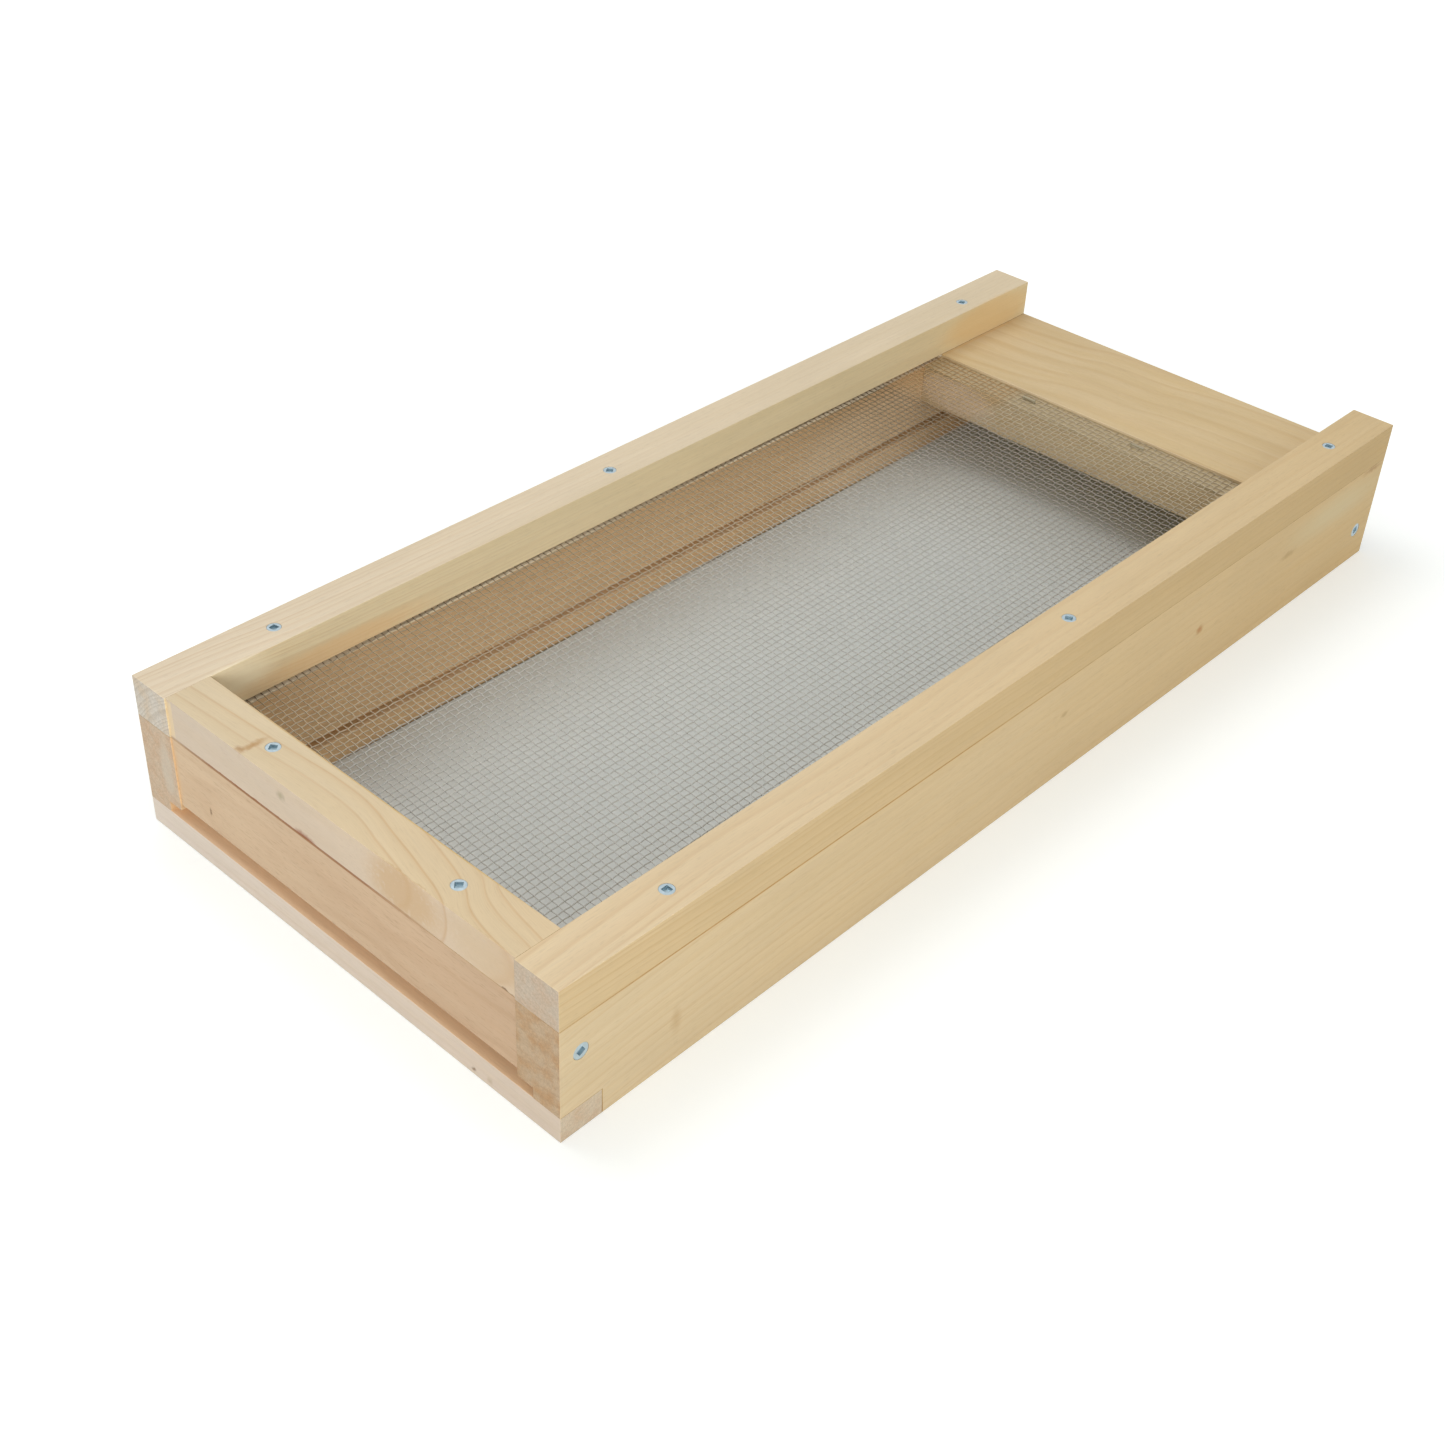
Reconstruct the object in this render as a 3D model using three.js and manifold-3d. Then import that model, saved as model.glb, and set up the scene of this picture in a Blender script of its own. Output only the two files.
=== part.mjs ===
// Screened bottom board for a five-frame bee hive: a pine frame with a wire screen over an open base,
// a slot and grooves for a tray under the screen, and a landing board at the bees' entrance.
// Millimetres, +Z up. +Y points to the entrance, the origin is under the middle of the board.

import * as THREE from 'three';
import { mergeVertices } from 'three/addons/utils/BufferGeometryUtils.js';
import Module from 'manifold-3d';

const wasm = await Module();
wasm.setup();

// Outer size
const boardLength = 534;
const boardWidth = 232;

// Side boards and the rails on top of them
const sideBoardThickness = 20.6;
const sideBoardHeight = 51.5;
const railWidth = 20.6;
const railThickness = 18;

// Rear end: top strip, end board under it, and the sill below the tray slot
const rearRecess = 0.8;
const rearStripWidth = 19.5;
const rearEndBoardThickness = 19.5;
const sillHeight = 11.5;
const sillDepth = 19;
const slotHeight = 7.5;

// Grooves that carry the tray's edges
const grooveHeight = 5;
const grooveDepth = 7.6;

// Entrance end: landing board with a ledge for the screen, and the end board under it
const landingDepth = 84;
const landingThickness = 21.2;
const landingLedge = 13.5;
const frontEndBoardThickness = 20.6;

// Wire screen, drawn coarser than the real cloth
const wireDiameter = 0.45;
const netBarWidth = 0.9;
const netGapsAcross = 11;
const netGapsAlong = 24;
const screenBearing = 6;

// Staples over the screen
const stapleWire = 0.8;
const stapleCrown = 6.3;
const stapleLeg = 8;

// Countersunk screws with a square recess
const topScrewHeadDiameter = 5.6;
const sideScrewHeadDiameter = 6.6;
const screwHeadRim = 0.4;
const screwHeadHeight = 2.4;
const screwShankDiameter = 4;
const screwTipLength = 6;
const screwLength = 40;
const sillScrewLength = 25;
const screwHeadSink = 0.3;
const recessSide = 2.8;
const recessDepth = 1.7;
const screwSides = 16;

// Places of the side screws and sill screws
const rearSideScrewInset = 9.5;
const frontSideScrewInset = 12;
const sillScrewInset = 9.5;

// Turns of their square recesses in degrees
const rearSideScrewTurn = 30;
const frontSideScrewTurn = 15;
const sillScrewTurn = 10;

// Clearances, and the overrun of cuts past a face
const cutClearance = 0.3;
const stapleHeadroom = 0.1;
const boardFit = 0.2;
const overrun = 2;

// Screws down each rail: share of the board's length from the rear, share of the rail's width from
// its outer face, and the turn of the square recess in degrees
const railScrewShares = {
  left: [[0.1065, 0.51, 12], [0.4415, 0.59, 35], [0.9145, 0.58, 20]],
  right: [[0.1088, 0.49, 0], [0.5392, 0.55, 28], [0.9232, 0.53, 8]],
};

// Screws in the rear strip: share of its length from the left, share of its width from the rear, turn
const stripScrewShares = [[0.266, 0.54, 38], [0.798, 0.5, 45]];

// Heights of the side screws as shares of the end boards that they hold
const rearSideScrewShare = 0.54;
const frontSideScrewShare = 0.56;

// Staples on the landing ledge: share of the ledge's length from the left, share of its depth
const ledgeStapleShares = [[0.311, 0.58], [0.646, 0.52]];

// Net bars that the hidden staples straddle, counted from the left or from the rear
const rearStapleBars = [4, 7];
const sideStapleBars = [4, 10, 16, 21];

// Levels and planes worked out from the sizes above
const topLevel = sideBoardHeight + railThickness;
const rearPlane = -boardLength / 2;
const frontPlane = boardLength / 2;
const halfWidth = boardWidth / 2;
const innerHalf = halfWidth - sideBoardThickness;
const railInnerHalf = halfWidth - railWidth;
const rearFace = rearPlane + rearRecess;
const slotTop = sillHeight + slotHeight;
const landingRear = frontPlane - landingDepth;
const landingUnderside = sideBoardHeight - landingThickness;
const netThickness = 2 * wireDiameter;
const seatDepth = netThickness + stapleWire + stapleHeadroom;
const seatLevel = sideBoardHeight - seatDepth;
const seatHalf = innerHalf + screenBearing;
const seatRear = rearFace + rearEndBoardThickness - screenBearing;
const seatFront = landingRear + landingLedge;
const netHalf = seatHalf - cutClearance;
const netRear = seatRear + cutClearance;
const netFront = seatFront - cutClearance;
const netPitchAcross = (2 * netHalf - netBarWidth) / netGapsAcross;
const netPitchAlong = (netFront - netRear - netBarWidth) / netGapsAlong;

// Materials
function wood(color) {
  return new THREE.MeshStandardMaterial({ color, roughness: 0.75, metalness: 0 });
}

function metal(color, roughness) {
  return new THREE.MeshStandardMaterial({ color, roughness, metalness: 1 });
}

const creamPine = wood(0xdfcfae);
const goldenPine = wood(0xd8bf92);
const pinkPine = wood(0xcfb290);
const palePine = wood(0xd8c9b4);
const galvanisedWire = metal(0xb8bab8, 0.45);
const zincPlate = metal(0xb9c4cc, 0.35);
const stapleSteel = metal(0x8a8478, 0.5);

// A geometry as a solid that can be cut
function solidOf(geometry) {
  const bare = geometry.clone();
  bare.deleteAttribute('normal');
  bare.deleteAttribute('uv');
  const merged = mergeVertices(bare);
  return new wasm.Manifold(new wasm.Mesh({
    numProp: 3,
    vertProperties: new Float32Array(merged.attributes.position.array),
    triVerts: new Uint32Array(merged.index.array),
  }));
}

// A solid back as a geometry
function geometryOf(solid) {
  const mesh = solid.getMesh();
  const geometry = new THREE.BufferGeometry();
  geometry.setAttribute('position', new THREE.BufferAttribute(new Float32Array(mesh.vertProperties), 3));
  geometry.setIndex(new THREE.BufferAttribute(new Uint32Array(mesh.triVerts), 1));
  geometry.computeVertexNormals();
  return geometry;
}

// A geometry with every one of the cutters taken out of it
function cut(geometry, cutters) {
  let solid = solidOf(geometry);
  for (const cutter of cutters) {
    solid = solid.subtract(solidOf(cutter));
  }
  return geometryOf(solid);
}

// A block between two values on each axis, given in either order
function block(xEnds, yEnds, zEnds) {
  const ends = [xEnds, yEnds, zEnds];
  const size = ends.map(([a, b]) => Math.abs(b - a));
  const centre = ends.map(([a, b]) => (a + b) / 2);
  return new THREE.BoxGeometry(...size).translate(...centre);
}

// A turned shape on the Z axis from [radius, height] pairs that run from the top down
function turned(profile) {
  const points = profile.map(([radius, height]) => new THREE.Vector2(radius, height)).reverse();
  return new THREE.LatheGeometry(points, screwSides).rotateX(Math.PI / 2);
}

// A screw with its head's top at the origin and its shank along -Z
function screwGeometry({ length, headDiameter }) {
  const headRadius = headDiameter / 2;
  const shankRadius = screwShankDiameter / 2;
  const body = turned([
    [0, 0],
    [headRadius, 0],
    [headRadius, -screwHeadRim],
    [shankRadius, -screwHeadHeight],
    [shankRadius, screwTipLength - length],
    [0, -length],
  ]);
  const half = recessSide / 2;
  return cut(body, [block([-half, half], [-half, half], [-recessDepth, overrun])]);
}

// The hole that such a screw sits in, from above the wood's face down past the screw's tip
function screwHole({ length, headDiameter }) {
  const headRadius = headDiameter / 2 + cutClearance;
  const shankRadius = screwShankDiameter / 2 + cutClearance;
  return turned([
    [0, screwHeadSink + overrun],
    [headRadius, screwHeadSink + overrun],
    [headRadius, -screwHeadRim],
    [shankRadius, -screwHeadHeight - cutClearance],
    [shankRadius, screwTipLength - length - cutClearance],
    [0, -length - 2 * cutClearance],
  ]);
}

// Directions a screw is driven in, each as the turn that brings -Z to it
const driven = {
  down: new THREE.Euler(0, 0, 0),
  up: new THREE.Euler(Math.PI, 0, 0),
  toLeft: new THREE.Euler(0, Math.PI / 2, 0),
  toRight: new THREE.Euler(0, -Math.PI / 2, 0),
};

// The whole list of screws: name, place of the head's top, direction, length, head diameter and turn
const screws = [];

function addScrew(name, place, direction, length, headDiameter, turn) {
  screws.push({ name, place: new THREE.Vector3(...place), direction, length, headDiameter, turn });
}

for (const side of ['left', 'right']) {
  const outward = side === 'left' ? -1 : 1;
  const inward = side === 'left' ? driven.toRight : driven.toLeft;
  const sunkFace = outward * (halfWidth - screwHeadSink);
  railScrewShares[side].forEach(([lengthShare, widthShare, turn], index) => {
    const x = outward * (halfWidth - widthShare * railWidth);
    const y = rearPlane + lengthShare * boardLength;
    const place = [x, y, topLevel - screwHeadSink];
    addScrew(`${side}_rail_screw_${index + 1}`, place, driven.down, screwLength, topScrewHeadDiameter, turn);
  });
  const rearHeight = slotTop + rearSideScrewShare * (sideBoardHeight - slotTop);
  const frontHeight = frontSideScrewShare * landingUnderside;
  const rearPlace = [sunkFace, rearPlane + rearSideScrewInset, rearHeight];
  const frontPlace = [sunkFace, frontPlane - frontSideScrewInset, frontHeight];
  addScrew(
    `${side}_rear_side_screw`, rearPlace, inward, screwLength, sideScrewHeadDiameter, rearSideScrewTurn);
  addScrew(
    `${side}_front_side_screw`, frontPlace, inward, screwLength, sideScrewHeadDiameter, frontSideScrewTurn);
  const sillX = outward * (innerHalf + grooveDepth + (sideBoardThickness - grooveDepth) / 2);
  const sillPlace = [sillX, rearPlane + sillScrewInset, screwHeadSink];
  addScrew(
    `${side}_sill_screw`, sillPlace, driven.up, sillScrewLength, sideScrewHeadDiameter, sillScrewTurn);
}

stripScrewShares.forEach(([lengthShare, widthShare, turn], index) => {
  const x = -railInnerHalf + lengthShare * 2 * railInnerHalf;
  const y = rearFace + widthShare * rearStripWidth;
  const place = [x, y, topLevel - screwHeadSink];
  addScrew(`rear_strip_screw_${index + 1}`, place, driven.down, screwLength, topScrewHeadDiameter, turn);
});

// The place of a screw as a matrix, with its turn about its own axis first
function screwMatrix(screw) {
  const aim = new THREE.Quaternion().setFromEuler(screw.direction);
  const spin = new THREE.Quaternion().setFromAxisAngle(
    new THREE.Vector3(0, 0, 1), THREE.MathUtils.degToRad(screw.turn));
  return new THREE.Matrix4().compose(screw.place, aim.multiply(spin), new THREE.Vector3(1, 1, 1));
}

const screwHoles = screws.map((screw) => screwHole(screw).applyMatrix4(screwMatrix(screw)));

// The whole list of staples: name, middle of the crown's underside, and whether the crown runs along Y
const staples = [];
const crownLevel = seatLevel + netThickness;

function barAcross(index) {
  return -netHalf + netBarWidth / 2 + index * netPitchAcross;
}

function barAlong(index) {
  return netRear + netBarWidth / 2 + index * netPitchAlong;
}

ledgeStapleShares.forEach(([lengthShare, depthShare], index) => {
  const x = -innerHalf + lengthShare * 2 * innerHalf;
  const y = landingRear + depthShare * landingLedge;
  staples.push({ name: `landing_staple_${index + 1}`, x, y, alongY: false });
});

rearStapleBars.forEach((bar, index) => {
  const y = seatRear + screenBearing / 2;
  staples.push({ name: `rear_staple_${index + 1}`, x: barAcross(bar), y, alongY: false });
});

for (const [side, outward] of [['left', -1], ['right', 1]]) {
  sideStapleBars.forEach((bar, index) => {
    const x = outward * (innerHalf + screenBearing / 2);
    staples.push({ name: `${side}_staple_${index + 1}`, x, y: barAlong(bar), alongY: true });
  });
}

// A staple with the middle of its crown's underside at the origin and its crown along X
function stapleGeometry() {
  const outer = stapleCrown / 2 + stapleWire / 2;
  const inner = outer - stapleWire;
  const outline = new THREE.Shape();
  outline.moveTo(-outer, -stapleLeg);
  outline.lineTo(-inner, -stapleLeg);
  outline.lineTo(-inner, 0);
  outline.lineTo(inner, 0);
  outline.lineTo(inner, -stapleLeg);
  outline.lineTo(outer, -stapleLeg);
  outline.lineTo(outer, stapleWire);
  outline.lineTo(-outer, stapleWire);
  outline.closePath();
  const settings = { depth: stapleWire, bevelEnabled: false };
  return new THREE.ExtrudeGeometry(outline, settings).translate(0, 0, -stapleWire / 2).rotateX(Math.PI / 2);
}

// The two holes that its legs are driven into
function legHoles(staple) {
  const halfHole = stapleWire / 2 + cutClearance;
  const bottom = crownLevel - stapleLeg - cutClearance;
  return [-1, 1].map((end) => {
    const x = staple.x + (staple.alongY ? 0 : end * stapleCrown / 2);
    const y = staple.y + (staple.alongY ? end * stapleCrown / 2 : 0);
    return block([x - halfHole, x + halfHole], [y - halfHole, y + halfHole], [bottom, crownLevel]);
  });
}

const stapleHoles = staples.flatMap(legHoles);

// The shallow seat that the screen lies in, over all four boards around the opening
const screenSeat = block(
  [-seatHalf, seatHalf], [seatRear, seatFront], [seatLevel, sideBoardHeight + overrun]);

// Side boards: tray groove down the inner face, notch for the sill at the rear
function sideBoard(outward) {
  const board = block(
    [outward * innerHalf, outward * halfWidth], [rearPlane, frontPlane], [0, sideBoardHeight]);
  const groove = block(
    [outward * (innerHalf - overrun), outward * (innerHalf + grooveDepth)],
    [rearPlane - overrun, frontPlane + overrun],
    [sillHeight, sillHeight + grooveHeight]);
  const notch = block(
    [outward * (innerHalf - overrun), outward * (halfWidth + overrun)],
    [rearPlane - overrun, rearPlane + sillDepth + boardFit],
    [-overrun, sillHeight]);
  return cut(board, [groove, notch, screenSeat, ...screwHoles, ...stapleHoles]);
}

// Top rails, flush with the side boards' outer faces
function topRail(outward) {
  const rail = block(
    [outward * railInnerHalf, outward * halfWidth], [rearPlane, frontPlane], [sideBoardHeight, topLevel]);
  return cut(rail, screwHoles);
}

// Rear strip between the rails, level with their tops
function rearTopStrip() {
  const strip = block(
    [-railInnerHalf, railInnerHalf], [rearFace, rearFace + rearStripWidth], [sideBoardHeight, topLevel]);
  return cut(strip, screwHoles);
}

// Rear end board between the side boards, over the tray slot
function rearEndBoard() {
  const board = block(
    [-innerHalf, innerHalf], [rearFace, rearFace + rearEndBoardThickness], [slotTop, sideBoardHeight]);
  return cut(board, [screenSeat, ...screwHoles, ...stapleHoles]);
}

// Sill under the tray slot, let into the side boards' notches
function traySill() {
  const sill = block([-halfWidth, halfWidth], [rearPlane, rearPlane + sillDepth], [0, sillHeight]);
  return cut(sill, screwHoles);
}

// Landing board between the side boards, level with their tops
function landingBoard() {
  const half = innerHalf - boardFit;
  const board = block([-half, half], [landingRear, frontPlane], [landingUnderside, sideBoardHeight]);
  return cut(board, [screenSeat, ...stapleHoles]);
}

// Front end board that closes the frame under the landing board
function frontEndBoard() {
  const board = block(
    [-innerHalf, innerHalf], [frontPlane - frontEndBoardThickness, frontPlane], [0, landingUnderside]);
  return cut(board, screwHoles);
}

// The lines along both edges of every bar, from the first bar to the last
function barEdges(barPlace, gaps) {
  const edges = [];
  for (let index = 0; index <= gaps; index += 1) {
    edges.push(barPlace(index) - netBarWidth / 2, barPlace(index) + netBarWidth / 2);
  }
  return edges;
}

// Wire screen as a flat net: the bars' edges cut the sheet into cells, and a cell that lies in a bar
// of either direction is solid
function wireScreen() {
  const xLines = barEdges(barAcross, netGapsAcross);
  const yLines = barEdges(barAlong, netGapsAlong);
  const columns = xLines.length - 1;
  const rows = yLines.length - 1;
  const corners = [seatLevel, seatLevel + netThickness].flatMap(
    (z) => yLines.flatMap((y) => xLines.flatMap((x) => [x, y, z])));
  const corner = (level, column, row) => (level * yLines.length + row) * xLines.length + column;

  function isSolid(column, row) {
    const inside = column >= 0 && row >= 0 && column < columns && row < rows;
    return inside && (column % 2 === 0 || row % 2 === 0);
  }

  const faces = [];

  function addQuad(a, b, c, d) {
    faces.push(a, b, c, a, c, d);
  }

  function addWall(fromColumn, fromRow, toColumn, toRow) {
    addQuad(
      corner(0, fromColumn, fromRow), corner(0, toColumn, toRow),
      corner(1, toColumn, toRow), corner(1, fromColumn, fromRow));
  }

  for (let row = 0; row < rows; row += 1) {
    for (let column = 0; column < columns; column += 1) {
      if (!isSolid(column, row)) continue;
      const right = column + 1;
      const far = row + 1;
      addQuad(corner(1, column, row), corner(1, right, row), corner(1, right, far), corner(1, column, far));
      addQuad(corner(0, column, row), corner(0, column, far), corner(0, right, far), corner(0, right, row));
      if (!isSolid(column, row - 1)) addWall(column, row, right, row);
      if (!isSolid(right, row)) addWall(right, row, right, far);
      if (!isSolid(column, far)) addWall(right, far, column, far);
      if (!isSolid(column - 1, row)) addWall(column, far, column, row);
    }
  }

  const geometry = new THREE.BufferGeometry();
  geometry.setAttribute('position', new THREE.Float32BufferAttribute(corners, 3));
  geometry.setIndex(faces);
  geometry.computeVertexNormals();
  return geometry;
}

// The assembly
const bottomBoard = new THREE.Group();

function addPart(name, geometry, material) {
  const mesh = new THREE.Mesh(geometry, material);
  mesh.name = name;
  bottomBoard.add(mesh);
  return mesh;
}

addPart('left_side_board', sideBoard(-1), goldenPine);
addPart('right_side_board', sideBoard(1), goldenPine);
addPart('left_top_rail', topRail(-1), creamPine);
addPart('right_top_rail', topRail(1), goldenPine);
addPart('rear_top_strip', rearTopStrip(), creamPine);
addPart('rear_end_board', rearEndBoard(), pinkPine);
addPart('tray_sill', traySill(), palePine);
addPart('landing_board', landingBoard(), goldenPine);
addPart('front_end_board', frontEndBoard(), goldenPine);
addPart('wire_screen', wireScreen(), galvanisedWire);

for (const screw of screws) {
  const mesh = addPart(screw.name, screwGeometry(screw), zincPlate);
  mesh.applyMatrix4(screwMatrix(screw));
}

for (const staple of staples) {
  const mesh = addPart(staple.name, stapleGeometry(), stapleSteel);
  mesh.position.set(staple.x, staple.y, crownLevel);
  mesh.rotation.z = staple.alongY ? Math.PI / 2 : 0;
}

export default bottomBoard;
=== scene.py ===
# Screened bottom board of a small bee hive: pine boards, woven wire floor, zinc screws.
import math

import bmesh
import bpy
from mathutils import Matrix, Vector


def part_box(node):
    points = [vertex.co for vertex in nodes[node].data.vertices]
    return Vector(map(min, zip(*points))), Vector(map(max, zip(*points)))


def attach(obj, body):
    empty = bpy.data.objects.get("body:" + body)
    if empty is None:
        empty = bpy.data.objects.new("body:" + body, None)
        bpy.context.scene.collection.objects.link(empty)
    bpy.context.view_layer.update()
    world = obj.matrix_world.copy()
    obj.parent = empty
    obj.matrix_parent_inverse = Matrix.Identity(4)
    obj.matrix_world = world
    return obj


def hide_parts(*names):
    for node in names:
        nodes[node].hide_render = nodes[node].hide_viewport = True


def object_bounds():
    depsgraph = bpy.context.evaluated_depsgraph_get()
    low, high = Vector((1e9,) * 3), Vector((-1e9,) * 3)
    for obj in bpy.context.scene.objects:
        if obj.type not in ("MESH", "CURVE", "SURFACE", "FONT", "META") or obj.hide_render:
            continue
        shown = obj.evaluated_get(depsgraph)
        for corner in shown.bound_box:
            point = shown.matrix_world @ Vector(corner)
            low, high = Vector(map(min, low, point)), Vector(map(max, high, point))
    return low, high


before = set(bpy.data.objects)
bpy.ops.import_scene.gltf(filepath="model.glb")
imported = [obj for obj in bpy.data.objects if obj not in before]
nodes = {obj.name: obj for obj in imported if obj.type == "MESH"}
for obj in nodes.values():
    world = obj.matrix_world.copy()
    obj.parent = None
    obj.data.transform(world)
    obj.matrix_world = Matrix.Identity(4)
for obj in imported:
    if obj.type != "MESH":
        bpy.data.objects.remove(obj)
cadBox = [list(corner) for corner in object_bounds()]
print("frame loaded:", len(nodes), "nodes")

mm = 0.001
perMetre = 1000  # millimetres in a metre, for patterns worked out in millimetres


def toLinear(hexColour):
    channels = [int(hexColour[i:i + 2], 16) / 255 for i in (1, 3, 5)]
    linear = [c / 12.92 if c <= 0.04045 else ((c + 0.055) / 1.055) ** 2.4 for c in channels]
    return (*linear, 1)


def addNode(tree, kind, settings=None, inputs=None):
    node = tree.nodes.new(kind)
    for name, value in (settings or {}).items():
        setattr(node, name, value)
    for name, value in (inputs or {}).items():
        if isinstance(value, bpy.types.NodeSocket):
            tree.links.new(value, node.inputs[name])
        else:
            node.inputs[name].default_value = value
    return node


def newMaterial(name):
    material = bpy.data.materials.new(name)
    material.use_nodes = True
    material.node_tree.nodes.clear()
    return material, material.node_tree


def finishPiece(mesh, name, materials, replaced):
    piece = bpy.data.objects.new(name, mesh)
    bpy.context.scene.collection.objects.link(piece)
    for one in materials:
        mesh.materials.append(one)
    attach(piece, "root")
    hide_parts(*replaced)


# Camera: 50 mm lens, 0.6 m from the near right corner, fitted to the board's straight edges.
camera = {
    "place": (0.44179, -0.56517, 0.50874),
    "right": (0.72453, 0.68831, 0.03576),
    "up": (-0.43382, 0.41511, 0.79968),
    "lens": 49.556, "sensorWidth": 36,  # millimetres
    "shift": (0.0094, -0.0059),
    "farthest": 50,  # metres
}


def setCamera(spec):
    lens = bpy.data.cameras.new("camera")
    lens.sensor_fit = "HORIZONTAL"
    lens.sensor_width = spec["sensorWidth"]
    lens.lens = spec["lens"]
    lens.shift_x, lens.shift_y = spec["shift"]
    lens.clip_end = spec["farthest"]
    right = Vector(spec["right"]).normalized()
    up = Vector(spec["up"])
    up = (up - up.dot(right) * right).normalized()
    turn = Matrix((right, up, right.cross(up))).transposed()
    holder = bpy.data.objects.new("camera", lens)
    holder.matrix_world = Matrix.Translation(spec["place"]) @ turn.to_4x4()
    bpy.context.scene.collection.objects.link(holder)
    bpy.context.scene.camera = holder


setCamera(camera)

# Studio: white paper under a white dome, a soft lamp high on the left and one low on the near right.
studio = {
    "floorSize": 12,  # metres
    "floorColour": "#E9EDEB",
    "nearGlow": 0.3, "farGlow": 0.5, "glowFull": 0.16,  # full 0.16 m out from the board's outline
    "domeColour": "#FFFFFF",
    "horizon": 0.4, "zenith": 0.68,
    "lamps": [
        {"name": "windowLamp", "place": (-0.7, -0.2, 1.7), "target": (0, 0, 0), "size": 1.0, "power": 7},
        {"name": "roomLamp", "place": (1.1, -1.3, 0.5), "target": (0, 0, 0), "size": 0.9, "power": 13},
    ],
}


def seenDirectly(tree):
    # 1 for what the camera sees, also in a reflection or through something clear, and 0 for other light.
    path = addNode(tree, "ShaderNodeLightPath")
    direct = addNode(tree, "ShaderNodeMath", {"operation": "MAXIMUM"},
                     {0: path.outputs["Is Camera Ray"], 1: path.outputs["Is Glossy Ray"]})
    return addNode(tree, "ShaderNodeMath", {"operation": "MAXIMUM"},
                   {0: direct.outputs[0], 1: path.outputs["Is Transmission Ray"]}).outputs[0]


def makeStudio(spec):
    scene = bpy.context.scene
    bm = bmesh.new()
    bmesh.ops.create_grid(bm, x_segments=1, y_segments=1, size=spec["floorSize"] / 2)
    mesh = bpy.data.meshes.new("floor")
    bm.to_mesh(mesh)
    bm.free()
    floor = bpy.data.objects.new("floor", mesh)
    scene.collection.objects.link(floor)

    # Matt white paper: takes the board's soft shadow, and reads as plain white where it is in the open.
    material, tree = newMaterial("mattWhitePaper")
    coords = addNode(tree, "ShaderNodeTexCoord")
    half = (cadBox[1][0], cadBox[1][1], 1)
    fromMiddle = addNode(tree, "ShaderNodeVectorMath", {"operation": "ABSOLUTE"},
                         {0: coords.outputs["Object"]})
    beyond = addNode(tree, "ShaderNodeVectorMath", {"operation": "SUBTRACT"},
                     {0: fromMiddle.outputs[0], 1: half})
    outside = addNode(tree, "ShaderNodeVectorMath", {"operation": "MAXIMUM"},
                      {0: beyond.outputs[0], 1: (0, 0, 0)})
    away = addNode(tree, "ShaderNodeVectorMath", {"operation": "LENGTH"}, {0: outside.outputs[0]})
    far = addNode(tree, "ShaderNodeMapRange", None,
                  {"Value": away.outputs["Value"], "From Max": spec["glowFull"],
                   "To Min": spec["nearGlow"], "To Max": spec["farGlow"]})
    isOutside = addNode(tree, "ShaderNodeMath", {"operation": "GREATER_THAN"},
                        {0: away.outputs["Value"], 1: 0.0})
    glowing = addNode(tree, "ShaderNodeMath", {"operation": "MULTIPLY"},
                      {0: far.outputs[0], 1: isOutside.outputs[0]})
    glow = addNode(tree, "ShaderNodeMath", {"operation": "MULTIPLY"},
                   {0: seenDirectly(tree), 1: glowing.outputs[0]})
    paper = addNode(tree, "ShaderNodeBsdfDiffuse", None, {"Color": toLinear(spec["floorColour"])})
    light = addNode(tree, "ShaderNodeEmission", None, {"Color": (1, 1, 1, 1), "Strength": glow.outputs[0]})
    both = addNode(tree, "ShaderNodeAddShader", None, {0: paper.outputs[0], 1: light.outputs[0]})
    addNode(tree, "ShaderNodeOutputMaterial", None, {"Surface": both.outputs[0]})
    mesh.materials.append(material)

    world = bpy.data.worlds.new("whiteDome")
    world.use_nodes = True
    scene.world = world
    tree = world.node_tree
    tree.nodes.clear()
    coords = addNode(tree, "ShaderNodeTexCoord")
    height = addNode(tree, "ShaderNodeSeparateXYZ", None, {0: coords.outputs["Generated"]})
    dome = addNode(tree, "ShaderNodeMapRange", None,
                   {"Value": height.outputs["Z"], "To Min": spec["horizon"], "To Max": spec["zenith"]})
    seen = addNode(tree, "ShaderNodeMix", {"data_type": "FLOAT"},
                   {0: seenDirectly(tree), 2: dome.outputs[0], 3: 1.0})
    sky = addNode(tree, "ShaderNodeBackground", None,
                  {"Color": toLinear(spec["domeColour"]), "Strength": seen.outputs[0]})
    addNode(tree, "ShaderNodeOutputWorld", None, {"Surface": sky.outputs[0]})

    for lamp in spec["lamps"]:
        data = bpy.data.lights.new(lamp["name"], "AREA")
        data.shape = "DISK"
        data.size = lamp["size"]
        data.energy = lamp["power"]
        holder = bpy.data.objects.new(lamp["name"], data)
        toTarget = Vector(lamp["target"]) - Vector(lamp["place"])
        holder.location = lamp["place"]
        holder.rotation_euler = toTarget.to_track_quat("-Z", "Y").to_euler()
        scene.collection.objects.link(holder)
    scene.view_settings.view_transform = "Standard"


makeStudio(studio)
print("camera and studio set")


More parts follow.
